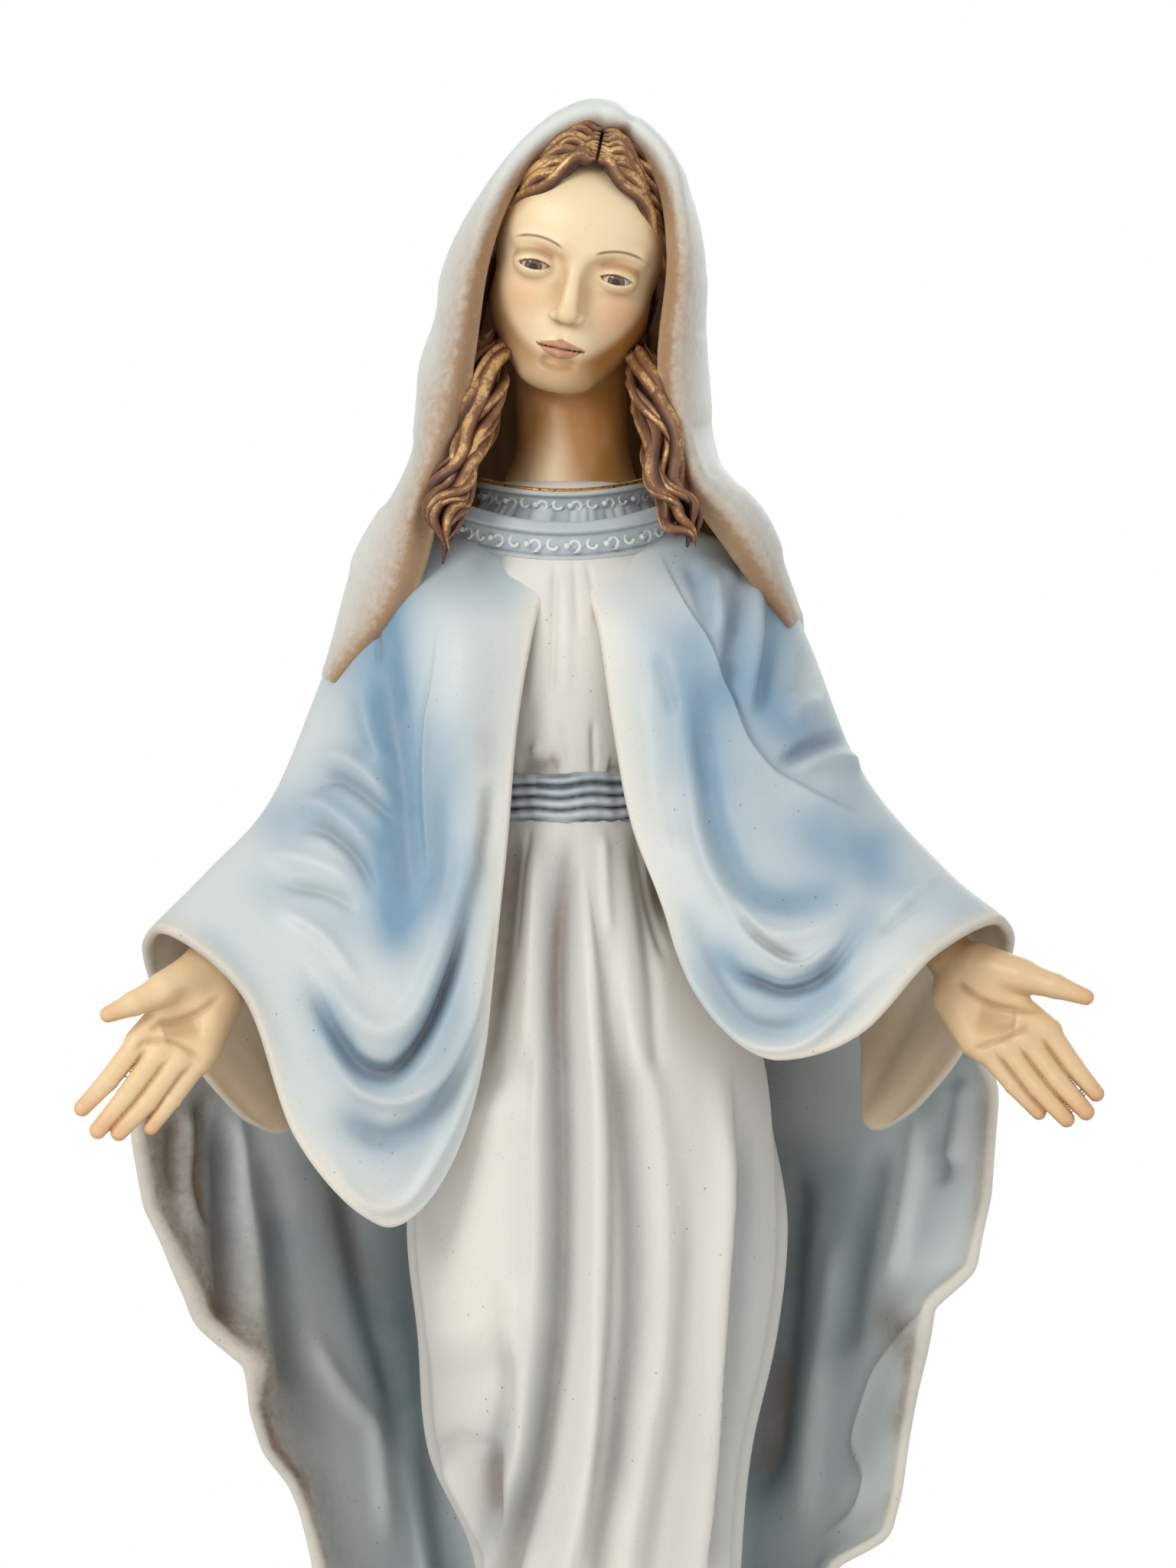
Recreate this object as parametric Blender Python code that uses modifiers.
"""A hand-painted madonna statue, built from separate castings on a steel spine rod.

The dress is a hollow cast tunic with a foam core. The mantle, veil and back drape are
cast shells laid over it. The head, the hands and the feet are castings of their own, and
the hands plug into the sleeves on steel pins. Metres, +Z up, the front faces -Y, and the
origin is under the middle of the plinth. Points of the figure are given in reference
millimetres, which at() scales to the driving dimensions.
"""

import math

import bmesh
import bpy
from mathutils import Matrix, Vector

MM = 0.001

# Driving dimensions, in metres.
FIGURE_HEIGHT = 0.5633  # from the seat on the globe to the top of the veil
HAND_SPAN = 0.277  # fingertip to fingertip
FIGURE_DEPTH = 0.113  # front of the fingers to the back of the veil
PLINTH_DIAMETER = 0.160
PLINTH_HEIGHT = 0.018
GLOBE_FOOTPRINT = 0.126
GLOBE_HEIGHT = 0.026
GLOBE_SEAT = 0.036
FELT_THICKNESS = 0.0015
TUNIC_WALL = 0.008
SHELL_THICKNESS = 0.003
BAND_PROUD = 0.0012
BAND_SUNK = 0.0012
ROD_DIAMETER = 0.006
NUT_WIDTH = 0.010
NUT_HEIGHT = 0.005
WASHER_DIAMETER = 0.018
WASHER_THICKNESS = 0.0014
ANCHOR_DIAMETER = 0.024
ANCHOR_THICKNESS = 0.003
PIN_DIAMETER = 0.004
PIN_IN_HAND = 0.009
PIN_IN_ARM = 0.012
SOCKET_WALL = 0.0010
EYE_DIAMETER = 0.0078
NECK_DOWEL_DIAMETER = 0.007
NECK_DOWEL_LENGTH = 0.026

GAP = 0.0003  # between pieces that touch
PIN_PLAY = 0.0001  # round the pins that slide
OFFCUT_SHARE = 0.2  # a loose bit smaller than this share of a cut piece is trimmed off

# The reference figure: what the driving dimensions above measure on it, in millimetres.
REFERENCE_SEAT = 46.4
TALL = FIGURE_HEIGHT / 563.3
WIDE = HAND_SPAN / 277.0
DEEP = FIGURE_DEPTH / 113.0

PLINTH_BOTTOM = FELT_THICKNESS + GAP
PLINTH_TOP = PLINTH_BOTTOM + PLINTH_HEIGHT
GLOBE_BOTTOM = PLINTH_TOP + GAP
SEAT_Z = GLOBE_BOTTOM + GLOBE_HEIGHT + GAP

NUT_RADIUS = NUT_WIDTH / math.sqrt(3)
RECESS_RADIUS = WASHER_DIAMETER / 2 + 0.004
RECESS_HEIGHT = NUT_HEIGHT + WASHER_THICKNESS + 0.005
ROD_HOLE = ROD_DIAMETER / 2 + GAP


def at(x, y, z):
    """A point of the figure, from reference millimetres to metres."""
    return Vector((x * WIDE, y * DEEP, SEAT_Z + (z - REFERENCE_SEAT) * TALL))


# ---------------------------------------------------------------- workshop


for old in list(bpy.data.objects):
    bpy.data.objects.remove(old)

statue = bpy.data.collections.new("madonna_statue")
cutters = bpy.data.collections.new("cutters")
bpy.context.scene.collection.children.link(statue)
bpy.context.scene.collection.children.link(cutters)


def paint(name, colour, roughness, metallic=0.0):
    """A Principled material."""
    material = bpy.data.materials.new(name)
    material.use_nodes = True
    shader = material.node_tree.nodes["Principled BSDF"]
    shader.inputs["Base Color"].default_value = (*colour, 1.0)
    shader.inputs["Roughness"].default_value = roughness
    shader.inputs["Metallic"].default_value = metallic
    return material


veil_paint = paint("veil_paint", (0.80, 0.79, 0.72), 0.55)
mantle_paint = paint("mantle_paint", (0.45, 0.57, 0.68), 0.55)
tunic_paint = paint("tunic_paint", (0.76, 0.75, 0.70), 0.55)
sash_paint = paint("sash_paint", (0.38, 0.46, 0.55), 0.5)
collar_paint = paint("collar_paint", (0.75, 0.68, 0.52), 0.5)
skin_paint = paint("skin_paint", (0.80, 0.62, 0.38), 0.45)
hair_paint = paint("hair_paint", (0.25, 0.12, 0.06), 0.5)
eye_glass = paint("eye_glass", (0.70, 0.65, 0.58), 0.1)
globe_paint = paint("globe_paint", (0.30, 0.43, 0.60), 0.45)
plinth_paint = paint("plinth_paint", (0.72, 0.70, 0.64), 0.5)
felt_cloth = paint("felt", (0.05, 0.18, 0.10), 0.95)
steel = paint("steel", (0.55, 0.55, 0.56), 0.35, 1.0)
brass = paint("brass", (0.72, 0.55, 0.25), 0.35, 1.0)
foam = paint("foam", (0.78, 0.66, 0.42), 0.9)
beech = paint("beech", (0.62, 0.42, 0.24), 0.7)


def piece(name, mesh, material, collection=None):
    """A named object with this mesh, in the statue's collection unless told otherwise."""
    obj = bpy.data.objects.new(name, mesh)
    mesh.materials.clear()
    if material:
        mesh.materials.append(material)
    (collection or statue).objects.link(obj)
    return obj


def as_mesh(obj):
    """A plain mesh of the object as the viewport shows it, with its place in the points."""
    bpy.context.view_layer.update()
    graph = bpy.context.evaluated_depsgraph_get()
    mesh = bpy.data.meshes.new_from_object(obj.evaluated_get(graph))
    mesh.transform(obj.matrix_world)
    return mesh


def settle(obj):
    """Applies the object's modifiers and place, and trims loose offcuts of its cuts."""
    mesh = as_mesh(obj)
    trim_offcuts(mesh)
    obj.modifiers.clear()
    obj.data = mesh
    obj.matrix_world = Matrix.Identity(4)
    return obj


def trim_offcuts(mesh):
    """Removes the small loose bits that a cut leaves beside the piece."""
    form = bmesh.new()
    form.from_mesh(mesh)
    bmesh.ops.remove_doubles(form, verts=form.verts, dist=1e-6)
    left = set(form.verts)
    islands = []
    while left:
        island = {left.pop()}
        edge_of_search = list(island)
        while edge_of_search:
            vert = edge_of_search.pop()
            for edge in vert.link_edges:
                other = edge.other_vert(vert)
                if other not in island:
                    island.add(other)
                    edge_of_search.append(other)
        left -= island
        islands.append(island)
    largest = max(len(island) for island in islands)
    for island in islands:
        if len(island) < OFFCUT_SHARE * largest:
            bmesh.ops.delete(form, geom=list(island), context="VERTS")
    form.to_mesh(mesh)
    form.free()


def swollen(obj, by):
    """A cutter: the object's closed surface moved outwards by this much."""
    form = bmesh.new()
    form.from_mesh(as_mesh(obj))
    form.normal_update()
    moved = [vert.co + vert.normal * by for vert in form.verts]
    for vert, place in zip(form.verts, moved):
        vert.co = place
    mesh = bpy.data.meshes.new(obj.name + "_swollen")
    form.to_mesh(mesh)
    form.free()
    return cutter(obj.name + "_swollen", mesh)


def cutter(name, mesh):
    """A hidden object that only cuts."""
    obj = piece(name, mesh, None, cutters)
    obj.hide_render = True
    obj.display_type = "WIRE"
    return obj


def cut(obj, *tools):
    """Takes these cutters out of the object."""
    for tool in tools:
        modifier = obj.modifiers.new("cut_" + tool.name, "BOOLEAN")
        modifier.operation = "DIFFERENCE"
        modifier.object = tool
    return settle(obj)


def fit_over(obj, *inner, gap=GAP):
    """Cuts the object back from pieces that it lies against, and leaves the gap."""
    return cut(obj, *[swollen(other, gap) for other in inner])


def smooth(obj, angle=40):
    """Smooth shading with sharp edges kept."""
    obj.data.shade_smooth()
    obj.data.set_sharp_from_angle(angle=math.radians(angle))
    return obj


def loft_mesh(name, rings, ring_closed=False):
    """A tube through rings with equal numbers of points, capped, or closed on itself."""
    form = bmesh.new()
    loops = [[form.verts.new(point) for point in ring] for ring in rings]
    pairs = list(zip(loops, loops[1:]))
    if ring_closed:
        pairs.append((loops[-1], loops[0]))
    count = len(rings[0])
    for low, high in pairs:
        for k in range(count):
            after = (k + 1) % count
            form.faces.new((low[k], low[after], high[after], high[k]))
    if not ring_closed:
        form.faces.new(list(reversed(loops[0])))
        form.faces.new(loops[-1])
    bmesh.ops.recalc_face_normals(form, faces=form.faces)
    mesh = bpy.data.meshes.new(name)
    form.to_mesh(mesh)
    form.free()
    return mesh


def turned(name, profile, material, steps=36):
    """A profile of (radius, height) points, down its outer side first, turned about Z."""
    mesh = bpy.data.meshes.new(name)
    points = [(radius, 0.0, height) for radius, height in profile]
    count = len(points)
    edges = [(k, (k + 1) % count) for k in range(count)]
    mesh.from_pydata(points, edges, [])
    obj = piece(name, mesh, material)
    screw = obj.modifiers.new("turn", "SCREW")
    screw.steps = steps
    screw.render_steps = steps
    screw.use_merge_vertices = True
    screw.merge_threshold = 0.00001
    return smooth(settle(obj))


def curve_through(points, steps):
    """A smooth run of points through these, with so many steps in each span."""
    ends = [2 * points[0] - points[1], *points, 2 * points[-1] - points[-2]]
    run = []
    for before, start, end, after in zip(ends, ends[1:], ends[2:], ends[3:]):
        for k in range(steps):
            t = k / steps
            pull = 0.5 * (end - before)
            push = 0.5 * (after - start)
            run.append(
                (2 * t**3 - 3 * t**2 + 1) * start
                + (t**3 - 2 * t**2 + t) * pull
                + (3 * t**2 - 2 * t**3) * end
                + (t**3 - t**2) * push
            )
    return [*run, points[-1]]


def sheet(name, rows, material, steps=3):
    """A draped shell: a loft through rows of reference points, given a wall."""
    along = [curve_through([at(*point) for point in row], steps) for row in rows]
    across = [curve_through(list(column), steps) for column in zip(*along)]
    width = len(across[0])
    mesh = bpy.data.meshes.new(name)
    faces = [
        (c * width + r, c * width + r + 1, (c + 1) * width + r + 1, (c + 1) * width + r)
        for c in range(len(across) - 1)
        for r in range(width - 1)
    ]
    mesh.from_pydata([point for column in across for point in column], [], faces)
    obj = piece(name, mesh, material)
    wall = obj.modifiers.new("wall", "SOLIDIFY")
    wall.thickness = SHELL_THICKNESS
    wall.offset = 0.0
    return settle(obj)


def limb(name, points, radii, material, sides=3):
    """A tapered round limb or lock of hair along a path, from a bevelled curve."""
    curve = bpy.data.curves.new(name, "CURVE")
    curve.dimensions = "3D"
    curve.bevel_depth = 1.0
    curve.bevel_resolution = sides
    curve.use_fill_caps = True
    spline = curve.splines.new("POLY")
    spline.points.add(len(points) - 1)
    for knot, point, radius in zip(spline.points, points, radii):
        knot.co = (*point, 1.0)
        knot.radius = radius
    guide = bpy.data.objects.new(name + "_path", curve)
    cutters.objects.link(guide)
    mesh = as_mesh(guide)
    bpy.data.objects.remove(guide)
    form = bmesh.new()
    form.from_mesh(mesh)
    bmesh.ops.remove_doubles(form, verts=form.verts, dist=0.00002)
    bmesh.ops.recalc_face_normals(form, faces=form.faces)
    form.to_mesh(mesh)
    form.free()
    return smooth(piece(name, mesh, material))


def rod_mesh(name, start, end, radius, sides=24, radius_end=None):
    """A cylinder or cone between two points."""
    form = bmesh.new()
    length = (end - start).length
    turn = (end - start).to_track_quat("Z", "Y").to_matrix().to_4x4()
    place = Matrix.Translation((start + end) / 2) @ turn
    bmesh.ops.create_cone(
        form,
        cap_ends=True,
        segments=sides,
        radius1=radius,
        radius2=radius if radius_end is None else radius_end,
        depth=length,
        matrix=place,
    )
    mesh = bpy.data.meshes.new(name)
    form.to_mesh(mesh)
    form.free()
    return mesh


def modelled(name, blobs, grain, keep, material):
    """A soft form: overlapping ellipsoids and bones (tapered, round-ended) made one skin.

    The skin is made at this grain, eased, and thinned to this share of its faces.
    """
    form = bmesh.new()
    for blob in blobs:
        ends = blob["ends"]
        for place, radius in ends:
            size = Matrix.Diagonal((*[radius * s for s in blob["shape"]], 1.0))
            bmesh.ops.create_uvsphere(
                form,
                u_segments=14,
                v_segments=10,
                radius=1.0,
                matrix=Matrix.Translation(place) @ blob["turn"] @ size,
            )
        if len(ends) == 2:
            (start, radius_1), (end, radius_2) = ends
            turn = (end - start).to_track_quat("Z", "Y").to_matrix().to_4x4()
            bmesh.ops.create_cone(
                form,
                cap_ends=True,
                segments=14,
                radius1=radius_1,
                radius2=radius_2,
                depth=(end - start).length,
                matrix=Matrix.Translation((start + end) / 2) @ turn,
            )
    mesh = bpy.data.meshes.new(name)
    form.to_mesh(mesh)
    form.free()
    obj = piece(name, mesh, material)
    skin = obj.modifiers.new("skin", "REMESH")
    skin.mode = "VOXEL"
    skin.voxel_size = grain
    ease = obj.modifiers.new("ease", "SMOOTH")
    ease.iterations = 2
    thin = obj.modifiers.new("thin", "DECIMATE")
    thin.ratio = keep
    return smooth(settle(obj))


def ball(place, radius, shape=(1, 1, 1), turn=None):
    """An ellipsoid blob for modelled()."""
    turned_by = turn or Matrix.Identity(4)
    return {"ends": [(place, radius)], "shape": shape, "turn": turned_by}


def bone(start, radius_1, end, radius_2):
    """A round-ended bone for modelled()."""
    return {
        "ends": [(start, radius_1), (end, radius_2)],
        "shape": (1, 1, 1),
        "turn": Matrix.Identity(4),
    }


# ------------------------------------------------------- plinth, globe, felt


def build_base():
    """Turned plinth with a felt under it and the dome of the globe on it."""
    rim = PLINTH_DIAMETER / 2
    bead = PLINTH_HEIGHT * 0.22
    recess_top = PLINTH_BOTTOM + RECESS_HEIGHT
    plinth_profile = [
        (rim - 1.6 * bead, PLINTH_TOP),
        (rim - 1.2 * bead, PLINTH_TOP - 0.5 * bead),
        (rim - 1.2 * bead, PLINTH_TOP - bead),
        (rim - 0.6 * bead, PLINTH_TOP - 1.4 * bead),
        (rim - 0.2 * bead, PLINTH_TOP - 2.1 * bead),
        (rim, PLINTH_TOP - 2.8 * bead),
        (rim, PLINTH_BOTTOM + 0.2 * bead),
        (rim - 0.2 * bead, PLINTH_BOTTOM),
        (RECESS_RADIUS, PLINTH_BOTTOM),
        (RECESS_RADIUS, recess_top),
        (ROD_HOLE, recess_top),
        (ROD_HOLE, PLINTH_TOP),
    ]
    turned("plinth", plinth_profile, plinth_paint)

    felt_top = Vector((0, 0, FELT_THICKNESS))
    felt = rod_mesh("felt_pad", Vector(), felt_top, rim - 2 * bead, sides=48)
    smooth(piece("felt_pad", felt, felt_cloth))

    turned("globe", globe_profile(), globe_paint)


def globe_sphere():
    """Radius of the globe's sphere and the depth of its centre below the plinth's top."""
    foot, seat = GLOBE_FOOTPRINT / 2, GLOBE_SEAT / 2
    below = (foot**2 - seat**2 - GLOBE_HEIGHT**2) / (2 * GLOBE_HEIGHT)
    return math.hypot(foot, below), below


def globe_profile(arc_points=7):
    """The dome's outer arc, its flat underside and its bore."""
    radius, below = globe_sphere()
    profile = []
    for k in range(arc_points):
        rise = GLOBE_HEIGHT * (1 - k / (arc_points - 1))
        out = math.sqrt(radius**2 - (below + rise) ** 2)
        profile.append((out, GLOBE_BOTTOM + rise))
    profile.append((ROD_HOLE, GLOBE_BOTTOM))
    profile.append((ROD_HOLE, GLOBE_BOTTOM + GLOBE_HEIGHT))
    return profile


def globe_surface(x, y):
    """Height of the globe's dome at a point of the plan."""
    radius, below = globe_sphere()
    reach = min(math.hypot(x, y), 0.999 * radius)
    return GLOBE_BOTTOM - below + math.sqrt(radius**2 - reach**2)


# ------------------------------------------------------------------- tunic


# Height, middle x, middle y, half width and half depth of the dress, top to hem.
TUNIC_SECTIONS = (
    (502, -3, 2, 21, 19.5),
    (498, -3, 1.5, 22.5, 20.6),
    (492.7, -3.5, 0.5, 25.5, 22.8),
    (487, -4, 0, 29, 24.6),
    (478, -3, 0, 35, 28),
    (458, -2, 0, 35, 30),
    (437, -2, 0, 30, 29),
    (423, -2, 0, 27, 27),
    (412, -2, -1, 27, 27),
    (398, 0, -2, 32, 30),
    (375, 2, -3, 41, 35),
    (345, 5, -4, 49, 39),
    (302, 5, -4, 51, 41),
    (272, 5, -4, 48, 40),
    (240, 3, -3, 43, 38),
    (208, 8, -3, 35, 35),
    (160, 7, -3, 34, 34),
    (110, 6, -2, 38, 36),
    (70, 5, -1, 43, 39),
    (38, 4, -1, 48, 42),
)
RING_POINTS = 32
CAVITY_TOP = 458  # reference height of the hollow's roof, in the chest
HOLLOW_LEVELS = (70, 160, 208, 240, 302, 345, 398, 417, 437)
SASH_BOTTOM, SASH_TOP = 413, 423
COLLAR_LOWER = (484.5, 490.5)
COLLAR_UPPER = (495, 501)


def tunic_section(height):
    """The dress's section at a reference height, between the listed ones."""
    sections = sorted(TUNIC_SECTIONS)
    for low, high in zip(sections, sections[1:]):
        if low[0] <= height <= high[0]:
            share = (height - low[0]) / (high[0] - low[0])
            return [a + (b - a) * share for a, b in zip(low, high)]
    return list(sections[0] if height < sections[0][0] else sections[-1])


def ring(height, grow, level=None):
    """The dress's outline at a reference height, grown outwards by metres."""
    _, x, y, half_width, half_depth = tunic_section(height)
    middle = at(x, y, height if level is None else level)
    return [
        middle
        + Vector(
            (
                math.cos(a) * (half_width * WIDE + grow),
                math.sin(a) * (half_depth * DEEP + grow),
                0.0,
            )
        )
        for a in [2 * math.pi * k / RING_POINTS for k in range(RING_POINTS)]
    ]


def levels_between(low, high, listed=None):
    """The listed heights inside a span, with the span's two ends."""
    heights = listed or [section[0] for section in TUNIC_SECTIONS]
    return [low, *sorted(h for h in heights if low < h < high), high]


def hoop(name, low, high, material):
    """A band round the dress, let into it and standing proud of it."""
    heights = levels_between(low, high)
    outside = [ring(h, BAND_PROUD) for h in heights]
    inside = [ring(h, -BAND_SUNK) for h in reversed(heights)]
    return piece(name, loft_mesh(name, outside + inside, ring_closed=True), material)


def build_tunic():
    """The hollow dress casting, with its sash and collar bands let into it."""
    hem, top = TUNIC_SECTIONS[-1][0], TUNIC_SECTIONS[0][0]
    heights = levels_between(hem, top)
    outer = loft_mesh("tunic", [ring(h, 0.0) for h in heights])
    tunic = piece("tunic", outer, tunic_paint)
    hollow_heights = levels_between(hem, CAVITY_TOP, HOLLOW_LEVELS)
    rings = [ring(h, -TUNIC_WALL) for h in hollow_heights]
    rings.insert(0, ring(hem, -TUNIC_WALL, level=hem - 10))
    hollow = cutter("tunic_hollow", loft_mesh("tunic_hollow", rings))
    bands = [
        hoop("sash", SASH_BOTTOM, SASH_TOP, sash_paint),
        hoop("collar_band_lower", *COLLAR_LOWER, collar_paint),
        hoop("collar_band_upper", *COLLAR_UPPER, collar_paint),
    ]
    cut(tunic, hollow)
    fit_over(tunic, *bands)
    return smooth(tunic), bands


def build_core():
    """Foam poured round the spine rod, up to the steel anchor plate in the chest."""
    top = CAVITY_TOP - (ANCHOR_THICKNESS + NUT_HEIGHT + 6 * GAP) / (TALL)
    heights = levels_between(REFERENCE_SEAT, top, HOLLOW_LEVELS)
    rings = [ring(h, -TUNIC_WALL - GAP) for h in heights]
    core = piece("foam_core", loft_mesh("foam_core", rings), foam)
    foot, crown = at(0, 0, REFERENCE_SEAT).z - 0.01, at(0, 0, top).z
    bore = rod_mesh("core_bore", Vector((0, 0, foot)), Vector((0, 0, crown + 0.01)), ROD_HOLE)
    cut(core, cutter("core_bore", bore))
    plate_low = crown + GAP
    plate_high = plate_low + ANCHOR_THICKNESS
    washer_like("anchor_plate", plate_low, plate_high, ANCHOR_DIAMETER / 2, steel)
    hex_nut("anchor_nut", plate_high + GAP)
    recess_top = PLINTH_BOTTOM + RECESS_HEIGHT
    washer_low = recess_top - GAP - WASHER_THICKNESS
    washer_like("base_washer", washer_low, recess_top - GAP, WASHER_DIAMETER / 2, steel)
    hex_nut("base_nut", washer_low - GAP - NUT_HEIGHT)
    low = Vector((0, 0, washer_low - NUT_HEIGHT - 0.002))
    high = Vector((0, 0, plate_high + NUT_HEIGHT + 2 * GAP))
    piece("spine_rod", rod_mesh("spine_rod", low, high, ROD_DIAMETER / 2), steel)
    smooth(bpy.data.objects["spine_rod"])
    return core


def washer_like(name, low, high, radius, material):
    """A flat ring on the spine rod."""
    profile = [(radius, high), (radius, low), (ROD_HOLE, low), (ROD_HOLE, high)]
    turned(name, profile, material, steps=24)


def hex_nut(name, low):
    """A hexagon nut on the spine rod."""
    start, end = Vector((0, 0, low)), Vector((0, 0, low + NUT_HEIGHT))
    nut = piece(name, rod_mesh(name, start, end, NUT_RADIUS, sides=6), steel)
    past = Vector((0, 0, 0.002))
    bore = rod_mesh(name + "_bore", start - past, end + past, ROD_HOLE)
    cut(nut, cutter(name + "_bore", bore))


# -------------------------------------------------------------------- head


HEAD_MIDDLE = (0, -2, 566)
HEAD_LEAN = 10  # degrees, the crown towards +X
HEAD_BOW = 12  # degrees, the crown forwards
NECK_FOOT = (-3, 3, 491)


def head_place():
    """From head millimetres (x right, y back, z up, from its middle) to metres."""
    lean = Matrix.Rotation(math.radians(HEAD_LEAN), 4, "Y")
    bow = Matrix.Rotation(math.radians(HEAD_BOW), 4, "X")
    size = Matrix.Scale(TALL, 4)
    return Matrix.Translation(at(*HEAD_MIDDLE)) @ lean @ bow @ size


def build_head():
    """The head and neck casting, its glass eyes and the dowel that pegs it to the body."""
    place = head_place()
    turn = place.to_quaternion().to_matrix().to_4x4()

    def on_head(x, y, z):
        return place @ Vector((x, y, z))

    neck_foot = at(*NECK_FOOT)
    blobs = [
        ball(on_head(0, 3, 7), 27 * TALL, (0.88, 1.0, 1.0), turn),
        ball(on_head(0, -8, -4), 22 * TALL, (0.95, 0.86, 1.1), turn),
        ball(on_head(0, -15, -22), 13 * TALL, (1.0, 0.85, 1.0), turn),
        bone(on_head(0, -26, 2), 2.2 * TALL, on_head(0, -32, -9), 3.2 * TALL),
        bone(on_head(0, 6, -14), 15 * TALL, neck_foot, 17 * TALL),
    ]
    head = modelled("head", blobs, 2.4 * TALL, 0.13, skin_paint)
    eyes = []
    for side, sign in (("right", -1), ("left", 1)):
        form = bmesh.new()
        bmesh.ops.create_uvsphere(
            form,
            u_segments=12,
            v_segments=8,
            radius=EYE_DIAMETER / 2,
            matrix=Matrix.Translation(on_head(sign * 10.5, -20.8, 1)),
        )
        mesh = bpy.data.meshes.new(side + "_eye")
        form.to_mesh(mesh)
        form.free()
        eyes.append(smooth(piece(side + "_eye", mesh, eye_glass)))
    neck_top = on_head(0, 6, -14)
    along = (neck_top - neck_foot).normalized()
    start = neck_foot - along * (NECK_DOWEL_LENGTH / 2 + NECK_DOWEL_DIAMETER)
    dowel_mesh = rod_mesh(
        "neck_dowel", start, start + along * NECK_DOWEL_LENGTH, NECK_DOWEL_DIAMETER / 2, 16
    )
    dowel = smooth(piece("neck_dowel", dowel_mesh, beech))
    fit_over(head, dowel, *eyes)
    return smooth(head), dowel, eyes


def build_hair(head):
    """The band of hair under the veil, and the two locks that fall on the shoulders."""
    place = head_place()
    turn = place.to_quaternion().to_matrix().to_4x4()
    cap_blob = ball(place @ Vector((0, 4, 7)), 29 * TALL, (0.87, 1.0, 1.0), turn)
    cap = modelled("hair_cap", [cap_blob], 3.4 * TALL, 0.22, hair_paint)
    face_blob = ball(place @ Vector((0, -24, -14)), 33 * TALL, (0.72, 1.0, 1.08), turn)
    face_window = modelled("face_window", [face_blob], 4 * TALL, 0.2, None)
    chop_place = place @ Matrix.Translation((0, 0, -40)) @ Matrix.Scale(80, 4)
    form = bmesh.new()
    bmesh.ops.create_cube(form, size=1.0, matrix=chop_place)
    chop_mesh = bpy.data.meshes.new("hair_chop")
    form.to_mesh(chop_mesh)
    form.free()
    statue.objects.unlink(face_window)
    cutters.objects.link(face_window)
    face_window.hide_render = True
    cut(cap, face_window, cutter("hair_chop", chop_mesh))
    fit_over(cap, head)
    right = [(-25, -10, 545), (-27, -20, 530), (-30, -26, 518), (-33, -31, 506)]
    right += [(-35, -34, 496), (-36, -36, 487), (-37, -37, 479)]
    left = [(20, -14, 540), (22, -22, 528), (24, -27, 516), (26, -30, 505)]
    left += [(29, -33, 496), (31, -35, 488), (31, -36, 482)]
    radii = [5, 6.5, 6.5, 6, 5, 4, 1.2]
    locks = []
    for side, path in (("right", right), ("left", left)):
        points = [at(*point) for point in path]
        sizes = [radius * WIDE for radius in radii]
        locks.append(limb("hair_lock_" + side, points, sizes, hair_paint))
    return smooth(cap), locks


# ------------------------------------------------------------ mantle, veil


# Each row runs from the front edge round the outside to the back edge, shoulder to hem.
MANTLE_RIGHT = (
    (
        (-14, -30, 484),
        (-19, -27, 488),
        (-25, -23, 492),
        (-30, -13, 496),
        (-31, 0, 498),
        (-28, 14, 497),
        (-20, 24, 494),
    ),
    (
        (-16, -35, 462),
        (-26, -37, 464),
        (-39, -32, 469),
        (-51, -20, 477),
        (-56, -2, 481),
        (-51, 20, 477),
        (-38, 35, 468),
    ),
    (
        (-19, -37, 436),
        (-32, -41, 434),
        (-47, -37, 439),
        (-61, -24, 449),
        (-67, -2, 456),
        (-62, 20, 448),
        (-46, 37, 438),
    ),
    (
        (-21, -39, 405),
        (-36, -45, 398),
        (-54, -44, 402),
        (-72, -34, 412),
        (-82, -14, 419),
        (-79, 8, 406),
        (-60, 25, 393),
    ),
    (
        (-25, -44, 365),
        (-39, -52, 352),
        (-59, -54, 358),
        (-79, -50, 378),
        (-98, -32, 399),
        (-97, -8, 384),
        (-77, 10, 362),
    ),
    (
        (-41, -48, 311),
        (-56, -52, 305),
        (-75, -56, 330),
        (-89, -57, 367),
        (-113, -42, 384),
        (-114, -16, 370),
        (-82, -5, 327),
    ),
)
MANTLE_LEFT = (
    (
        (7, -30, 482),
        (12, -27, 486),
        (18, -22, 491),
        (23, -12, 495),
        (25, 0, 498),
        (21, 14, 497),
        (14, 24, 494),
    ),
    (
        (11, -35, 462),
        (22, -37, 463),
        (34, -32, 468),
        (46, -20, 476),
        (52, -2, 480),
        (48, 20, 476),
        (36, 35, 468),
    ),
    (
        (14, -38, 440),
        (28, -42, 436),
        (43, -38, 440),
        (56, -24, 451),
        (62, -2, 461),
        (59, 20, 451),
        (45, 37, 438),
    ),
    (
        (19, -40, 412),
        (34, -46, 404),
        (53, -45, 406),
        (70, -35, 417),
        (76, -14, 426),
        (75, 8, 410),
        (60, 25, 393),
    ),
    (
        (27, -44, 386),
        (41, -52, 374),
        (60, -54, 376),
        (80, -48, 387),
        (97, -32, 400),
        (97, -8, 385),
        (77, 10, 362),
    ),
    (
        (40, -48, 358),
        (55, -53, 350),
        (75, -56, 358),
        (95, -57, 378),
        (114, -42, 386),
        (114, -16, 373),
        (81, -5, 329),
    ),
)
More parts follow.
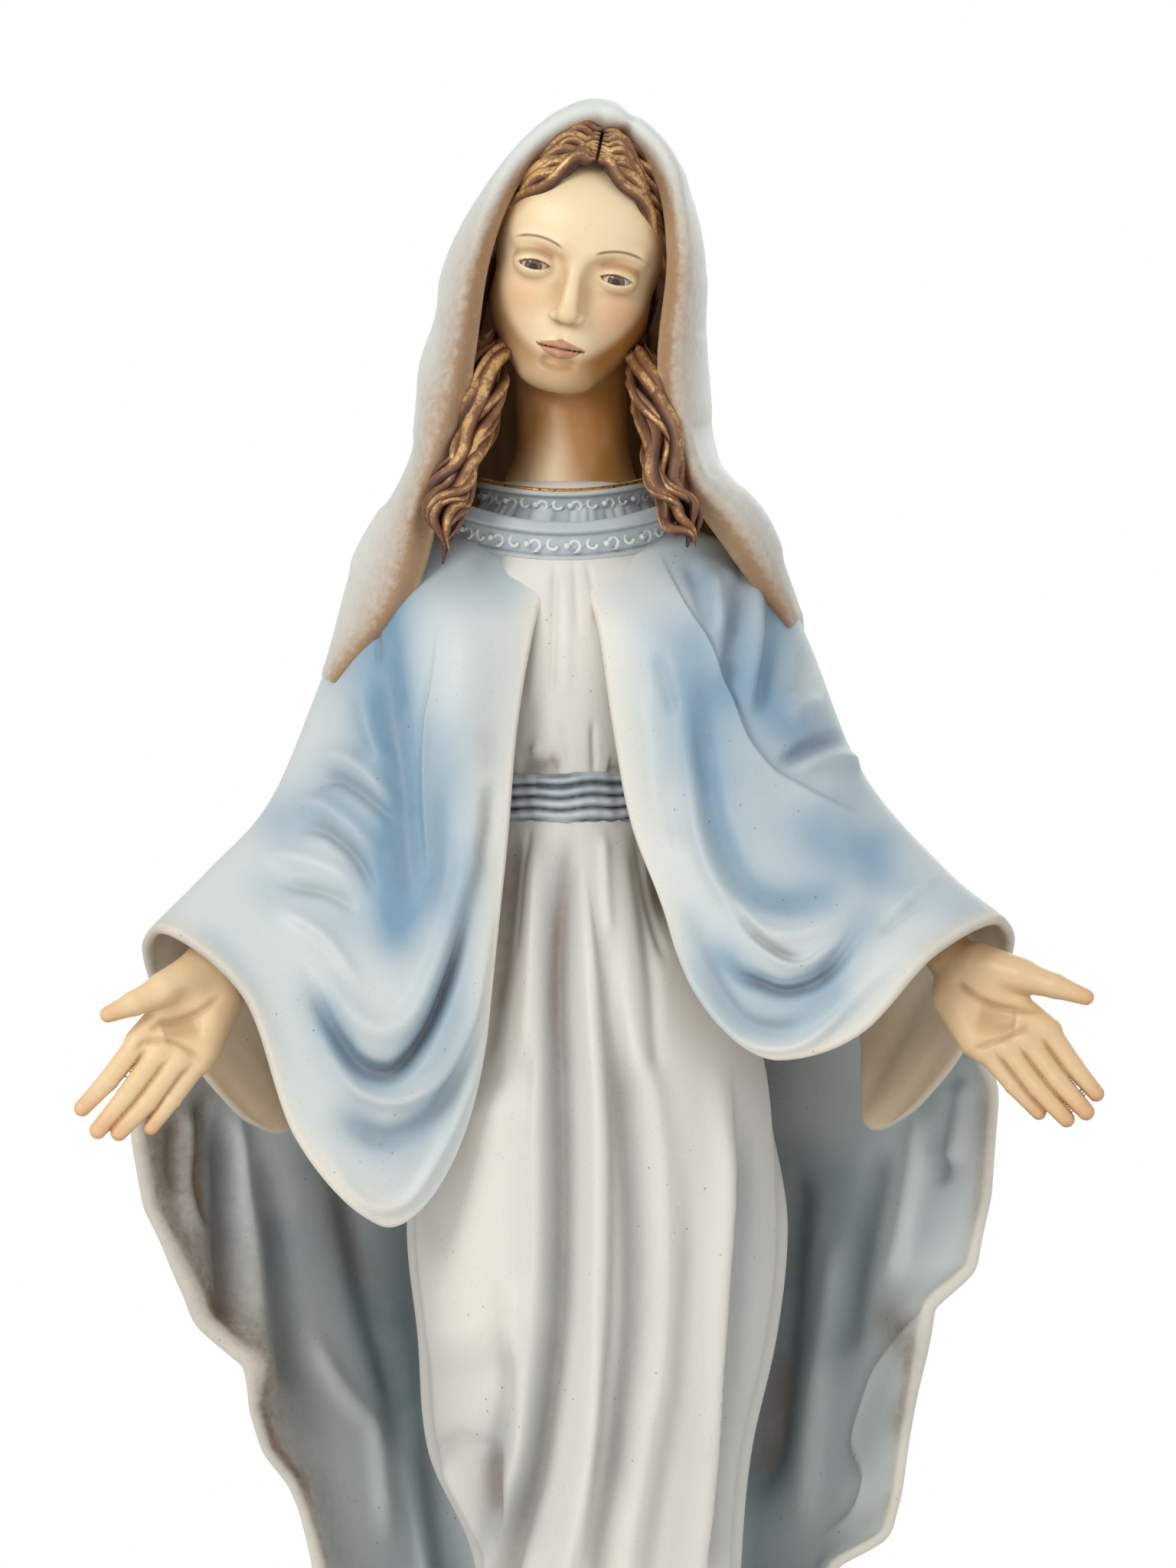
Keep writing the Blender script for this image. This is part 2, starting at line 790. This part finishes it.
# The veil's arches, front rim to back hem, each from the figure's right over the head.
VEIL = (
    (
        (-68, -17, 452),
        (-51, -31, 475),
        (-42, -34, 502),
        (-33, -31, 532),
        (-28, -28, 566),
        (-19, -25, 591),
        (-3, -22, 605),
        (12, -21, 606),
        (25, -24, 592),
        (29, -28, 568),
        (27, -30, 534),
        (34, -31, 505),
        (45, -28, 488),
        (60, -17, 469),
    ),
    (
        (-71, -1, 453),
        (-62, -10, 484),
        (-49, -9, 507),
        (-43, -8, 536),
        (-37, -7, 568),
        (-26, -6, 592),
        (-6, -4, 607),
        (13, -4, 607),
        (29, -6, 592),
        (34, -7, 568),
        (35, -7, 536),
        (40, -8, 509),
        (53, -10, 491),
        (63, -2, 468),
    ),
    (
        (-68, 20, 446),
        (-58, 25, 480),
        (-49, 25, 506),
        (-42, 26, 536),
        (-36, 26, 566),
        (-25, 25, 586),
        (-7, 24, 598),
        (12, 24, 598),
        (28, 25, 586),
        (35, 26, 566),
        (37, 26, 536),
        (40, 26, 510),
        (50, 25, 488),
        (62, 19, 458),
    ),
    (
        (-57, 39, 432),
        (-48, 43, 465),
        (-40, 44, 492),
        (-33, 44, 518),
        (-27, 44, 541),
        (-18, 43, 558),
        (-5, 43, 568),
        (10, 43, 568),
        (22, 43, 558),
        (29, 44, 541),
        (33, 44, 518),
        (36, 44, 494),
        (43, 42, 470),
        (54, 38, 438),
    ),
    (
        (-50, 43, 398),
        (-42, 49, 396),
        (-33, 52, 395),
        (-25, 54, 394),
        (-17, 55, 393),
        (-9, 55, 393),
        (-2, 55, 392),
        (6, 55, 392),
        (13, 55, 393),
        (20, 55, 393),
        (27, 54, 394),
        (35, 52, 396),
        (43, 48, 398),
        (50, 43, 400),
    ),
)
# The long drape behind, from under the veil to the ground, its right edge first.
BACK_DRAPE = (
    (
        (-60, 20, 424),
        (-48, 34, 426),
        (-26, 44, 428),
        (0, 47, 428),
        (26, 44, 428),
        (48, 34, 426),
        (60, 20, 424),
    ),
    (
        (-96, 8, 374),
        (-72, 29, 376),
        (-40, 45, 378),
        (0, 50, 378),
        (40, 45, 378),
        (72, 29, 376),
        (96, 8, 374),
    ),
    (
        (-118, 2, 326),
        (-88, 28, 326),
        (-49, 47, 326),
        (0, 53, 326),
        (49, 47, 326),
        (87, 28, 326),
        (113, 2, 330),
    ),
    (
        (-105, 2, 282),
        (-80, 28, 282),
        (-46, 48, 282),
        (0, 54, 282),
        (48, 48, 282),
        (80, 28, 282),
        (103, 2, 286),
    ),
    (
        (-83, 6, 238),
        (-67, 28, 238),
        (-41, 47, 238),
        (0, 53, 238),
        (45, 47, 238),
        (73, 28, 238),
        (90, 4, 236),
    ),
    (
        (-68, 12, 180),
        (-55, 32, 180),
        (-33, 46, 180),
        (2, 52, 180),
        (37, 46, 180),
        (58, 32, 180),
        (66, 14, 184),
    ),
    (
        (-60, 16, 110),
        (-49, 34, 110),
        (-29, 46, 110),
        (3, 51, 110),
        (33, 46, 110),
        (53, 34, 110),
        (60, 17, 112),
    ),
    (
        (-61, 18, 38),
        (-50, 37, 36),
        (-30, 49, 35),
        (4, 54, 35),
        (34, 49, 35),
        (54, 37, 36),
        (63, 18, 38),
    ),
)


# --------------------------------------------------------- arms, hands, feet


# An arm's middle line from the shoulder to the seat of the hand.
ARM_RIGHT = ((-42, 2, 462), (-58, -2, 430), (-70, -13, 408), (-84, -23, 392), (-96, -31.7, 380))
ARM_LEFT = ((42, 2, 462), (56, -2, 432), (72, -13, 409), (87, -23, 393), (98.9, -31.3, 378.8))
ARM_RADII = (8.0, 8.0, 7.6, 7.0, 6.4)

# A hand's bones: start, radius, end, radius. The wrist, the palm's four bones and its
# heel, then the index, middle, ring and little finger, then the thumb.
HAND_RIGHT = (
    ((-93, -29.5, 385), 6.2, (-99.5, -34.5, 374.5), 6.4),
    ((-101, -36.5, 372), 5.0, (-118.5, -44, 353.5), 3.3),
    ((-100, -36.5, 371), 5.0, (-113, -44.5, 350.5), 3.4),
    ((-98, -36, 370), 5.0, (-107.6, -44, 348.5), 3.3),
    ((-96.5, -36, 368.5), 5.0, (-102.4, -42.5, 347.8), 3.0),
    ((-95.5, -37, 364.5), 4.6, (-100.5, -41, 352), 3.6),
    ((-118.5, -44, 353.5), 2.9, (-126.4, -47.8, 343.2), 2.6),
    ((-126.4, -47.8, 343.2), 2.6, (-133.3, -51.2, 335.8), 2.1),
    ((-113, -44.5, 350.5), 3.0, (-121.6, -48.8, 338.8), 2.7),
    ((-121.6, -48.8, 338.8), 2.7, (-129, -52.4, 329.9), 2.2),
    ((-107.6, -44, 348.5), 2.9, (-116.1, -48.3, 337), 2.6),
    ((-116.1, -48.3, 337), 2.6, (-123.4, -51.6, 329.2), 2.1),
    ((-102.4, -42.5, 347.8), 2.6, (-109.3, -46, 338), 2.3),
    ((-109.3, -46, 338), 2.3, (-114.9, -48.2, 330.6), 1.9),
    ((-100, -37.5, 374), 5.4, (-111.5, -44, 367.6), 4.2),
    ((-111.5, -44, 367.6), 4.2, (-119.5, -47.8, 363.9), 3.2),
    ((-119.5, -47.8, 363.9), 3.2, (-126.4, -50, 361), 2.1),
)
HAND_LEFT = (
    ((95.5, -29, 383.5), 6.2, (103, -34.5, 373.5), 6.6),
    ((106, -37, 371.5), 5.2, (126.8, -45, 356.4), 3.3),
    ((105, -37, 370), 5.0, (121.5, -45.5, 353.4), 3.4),
    ((103.5, -36.5, 369), 5.0, (115.8, -45, 351.4), 3.3),
    ((102, -36, 368), 5.0, (110.3, -43.5, 350.6), 3.0),
    ((101, -37, 364.5), 4.6, (107, -41.5, 353.5), 3.6),
    ((126.8, -45, 356.4), 2.9, (133.2, -48.6, 347.2), 2.6),
    ((133.2, -48.6, 347.2), 2.6, (139.3, -51.8, 339.8), 2.1),
    ((121.5, -45.5, 353.4), 3.0, (129.4, -49.8, 342.8), 2.7),
    ((129.4, -49.8, 342.8), 2.7, (136.5, -53, 334.9), 2.2),
    ((115.8, -45, 351.4), 2.9, (123.8, -49.3, 340.9), 2.6),
    ((123.8, -49.3, 340.9), 2.6, (131.3, -52.3, 332.9), 2.1),
    ((110.3, -43.5, 350.6), 2.6, (117.3, -47, 341.8), 2.3),
    ((117.3, -47, 341.8), 2.3, (124, -49.2, 334.6), 1.9),
    ((108, -38, 374.3), 5.4, (119.5, -44, 371.2), 4.2),
    ((119.5, -44, 371.2), 4.2, (128.5, -47.8, 368.6), 3.1),
    ((128.5, -47.8, 368.6), 3.1, (136.6, -50, 365.7), 2.1),
)
HAND_GRAIN = 1.3


def half_space(name, place, towards):
    """A large block that takes away everything past a plane."""
    size = 0.08
    turn = towards.to_track_quat("Z", "Y").to_matrix().to_4x4()
    form = bmesh.new()
    middle = Matrix.Translation(place + towards * size / 2)
    bmesh.ops.create_cube(form, size=size, matrix=middle @ turn)
    mesh = bpy.data.meshes.new(name)
    form.to_mesh(mesh)
    form.free()
    return cutter(name, mesh)


def build_arm_and_hand(side, path, bones):
    """A cast arm inside the sleeve, its brass socket, the steel pin and the hand on it."""
    points = [at(*point) for point in path]
    radii = [radius * WIDE for radius in ARM_RADII]
    arm = limb(side + "_arm", points, radii, skin_paint, sides=4)
    seat = points[-1]
    out = (seat - points[-2]).normalized()
    blobs = [
        bone(at(*start), radius_1 * WIDE, at(*end), radius_2 * WIDE)
        for start, radius_1, end, radius_2 in bones
    ]
    hand = modelled(side + "_hand", blobs, HAND_GRAIN * WIDE, 0.11, skin_paint)
    pin_start, pin_end = seat - out * (PIN_IN_ARM - GAP), seat + out * PIN_IN_HAND
    pin_mesh = rod_mesh(side + "_hand_pin", pin_start, pin_end, PIN_DIAMETER / 2, sides=16)
    pin = smooth(piece(side + "_hand_pin", pin_mesh, steel))
    inner = PIN_DIAMETER / 2 + PIN_PLAY
    outer = inner + SOCKET_WALL
    foot, mouth = seat - out * PIN_IN_ARM, seat - out * 2 * GAP
    name = side + "_hand_socket"
    socket = piece(name, rod_mesh(name, foot, mouth, outer, sides=20), brass)
    past = out * 0.003
    bore = rod_mesh(name + "_bore", foot - past, mouth + past, inner)
    smooth(cut(socket, cutter(name + "_bore", bore)))
    hole = rod_mesh(name + "_hole", foot - out * GAP, seat + past, outer + GAP)
    cut(arm, half_space(side + "_arm_end", seat - out * GAP, out), cutter(name + "_hole", hole))
    cut(hand, half_space(side + "_hand_end", seat + out * GAP, -out))
    fit_over(hand, pin)
    return smooth(arm), smooth(hand)


# A bare right foot in millimetres from its heel, toes towards -y: start, radius, end, radius.
FOOT_BONES = (
    ((0, 0, 7), 6.5, (0, -16, 5), 6.2),
    ((-1, -14, 4.5), 5.6, (-3, -27, 3), 4.6),
    ((2, -14, 4.5), 5.4, (4, -25, 3), 4.2),
    ((-4.6, -27, 2.2), 3.2, (-4.6, -35, 1.8), 2.7),
    ((-0.6, -28, 2.2), 2.3, (-0.4, -35.5, 1.6), 2.0),
    ((2.6, -27, 2.1), 2.1, (3.0, -33.5, 1.6), 1.9),
    ((5.4, -25.5, 2.0), 2.0, (6.2, -31, 1.6), 1.8),
    ((7.6, -23, 2.0), 1.9, (8.9, -28, 1.6), 1.7),
)
FOOT_HEELS = (("right", (-13, -20), -1), ("left", (19, -18), 1))


def build_feet(globe):
    """Two bare feet standing on the globe, their toes past the hem."""
    feet = []
    for side, (x, y), sign in FOOT_HEELS:
        heel = at(x, y, REFERENCE_SEAT)
        toe = at(x, y - 33, REFERENCE_SEAT)
        rise = globe_surface(heel.x, heel.y) - globe_surface(toe.x, toe.y)
        tip = math.atan2(rise, heel.y - toe.y)
        place = (
            Matrix.Translation((heel.x, heel.y, globe_surface(heel.x, heel.y) - 0.001))
            @ Matrix.Rotation(tip, 4, "X")
            @ Matrix.Rotation(math.radians(6 * sign), 4, "Z")
            @ Matrix.Diagonal((sign * MM, MM, MM, 1.0))
        )
        blobs = [
            bone(place @ Vector(a), r1 * MM, place @ Vector(b), r2 * MM)
            for a, r1, b, r2 in FOOT_BONES
        ]
        foot = modelled(side + "_foot", blobs, 1.3 * MM, 0.11, skin_paint)
        feet.append(smooth(fit_over(foot, globe)))
    return feet


# ---------------------------------------------------------------- assembly


def build_statue():
    """Every casting, each fitted over what it lies against."""
    build_base()
    globe = bpy.data.objects["globe"]
    tunic, bands = build_tunic()
    core = build_core()
    feet = build_feet(globe)
    for foot in feet:
        fit_over(foot, core)
    head, dowel, eyes = build_head()
    fit_over(tunic, head, dowel, globe, *feet)
    for band in bands[1:]:
        fit_over(band, head)
    cap, locks = build_hair(head)

    mantles = [
        sheet("mantle_right", MANTLE_RIGHT, mantle_paint),
        sheet("mantle_left", MANTLE_LEFT, mantle_paint),
    ]
    solid_tunic = cutter(
        "tunic_solid",
        loft_mesh(
            "tunic_solid",
            [ring(h, GAP) for h in levels_between(TUNIC_SECTIONS[-1][0], TUNIC_SECTIONS[0][0])],
        ),
    )
    for mantle in mantles:
        cut(mantle, solid_tunic)
        fit_over(mantle, *bands)
    drape = sheet("back_drape", BACK_DRAPE, mantle_paint, steps=2)
    fit_over(drape, *mantles, globe)
    cut(drape, solid_tunic)
    veil = sheet("veil", VEIL, veil_paint, steps=2)
    fit_over(veil, *mantles, drape, head, cap, *locks)
    for lock in locks:
        fit_over(lock, head, cap, *mantles, *bands)
        cut(lock, solid_tunic)
        smooth(lock)
    for side, path, bones in (("right", ARM_RIGHT, HAND_RIGHT), ("left", ARM_LEFT, HAND_LEFT)):
        arm, hand = build_arm_and_hand(side, path, bones)
        cut(arm, solid_tunic)
        fit_over(arm, *mantles)
        smooth(arm)
    for shell in (*mantles, drape, veil):
        smooth(shell)


build_statue()
